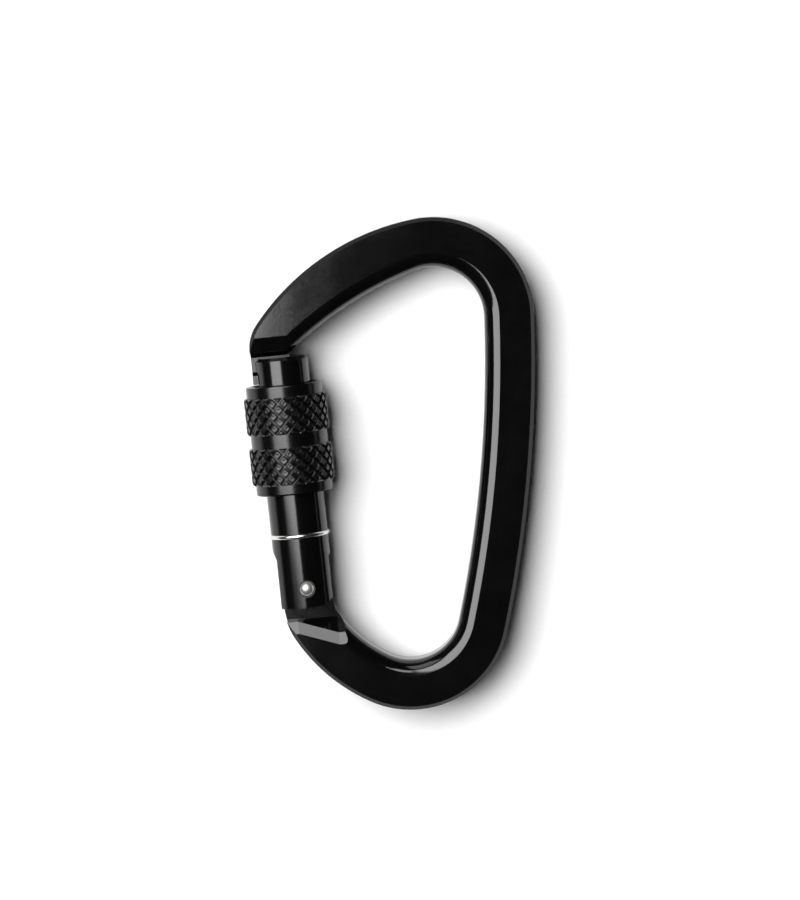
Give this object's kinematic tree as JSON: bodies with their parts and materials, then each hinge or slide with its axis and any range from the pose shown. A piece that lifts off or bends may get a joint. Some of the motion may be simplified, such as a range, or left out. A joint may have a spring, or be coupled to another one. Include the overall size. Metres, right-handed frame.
{
  "type": "locking carabiner",
  "caption": "D-shaped metal carabiner with a spring-closed pivoting gate, a knurled sleeve that screws up to lock it, and a wire stop ring.",
  "frame": {"origin": "centre of the bounding box, at the middle of the bar's thickness", "axes": "+Y runs along the D towards the nose, +X towards the spine, +Z square to the flat faces"},
  "size_m": [0.0472, 0.08, 0.0134],
  "materials": {
    "body_anodised": "black anodised over a bead-blasted surface, satin",
    "gate_anodised": "black anodised turned bar, semi-gloss",
    "sleeve_anodised": "black anodised, satin rims and diamond knurl",
    "polished_steel": "bright stainless steel",
    "spring_steel": "drawn stainless wire"
  },
  "bodies": {
    "frame": {"body": "body_anodised"},
    "gate": {"gate": "gate_anodised", "hinge_rivet": "polished_steel", "retaining_ring": "polished_steel", "gate_spring": "spring_steel"},
    "sleeve": {"lock_sleeve": "sleeve_anodised"},
    "plunger": {"spring_plunger": "spring_steel"}
  },
  "joints": [
    {"name": "gate_pivot", "type": "hinge", "parent": "frame", "child": "gate", "pos_m": [-0.0133, -0.0201, 0], "axis": [0, 0, -1], "range_deg": [0, 45], "stiffness_Nm_per_rad": 0.12, "springref_deg": -34.38},
    {"name": "sleeve_travel", "type": "slide", "parent": "gate", "child": "sleeve", "axis": [-0.1029, 0.9947, 0], "range_m": [-0.0062, 0.0043]},
    {"name": "plunger_travel", "type": "slide", "parent": "gate", "child": "plunger", "axis": [-0.1029, 0.9947, 0], "range_m": [0, 0.0016], "deforming": ["gate_spring"]}
  ],
  "couplings": [
    {"joint": "plunger_travel", "follows": "gate_pivot", "m_per_rad": 0.0020371}
  ]
}
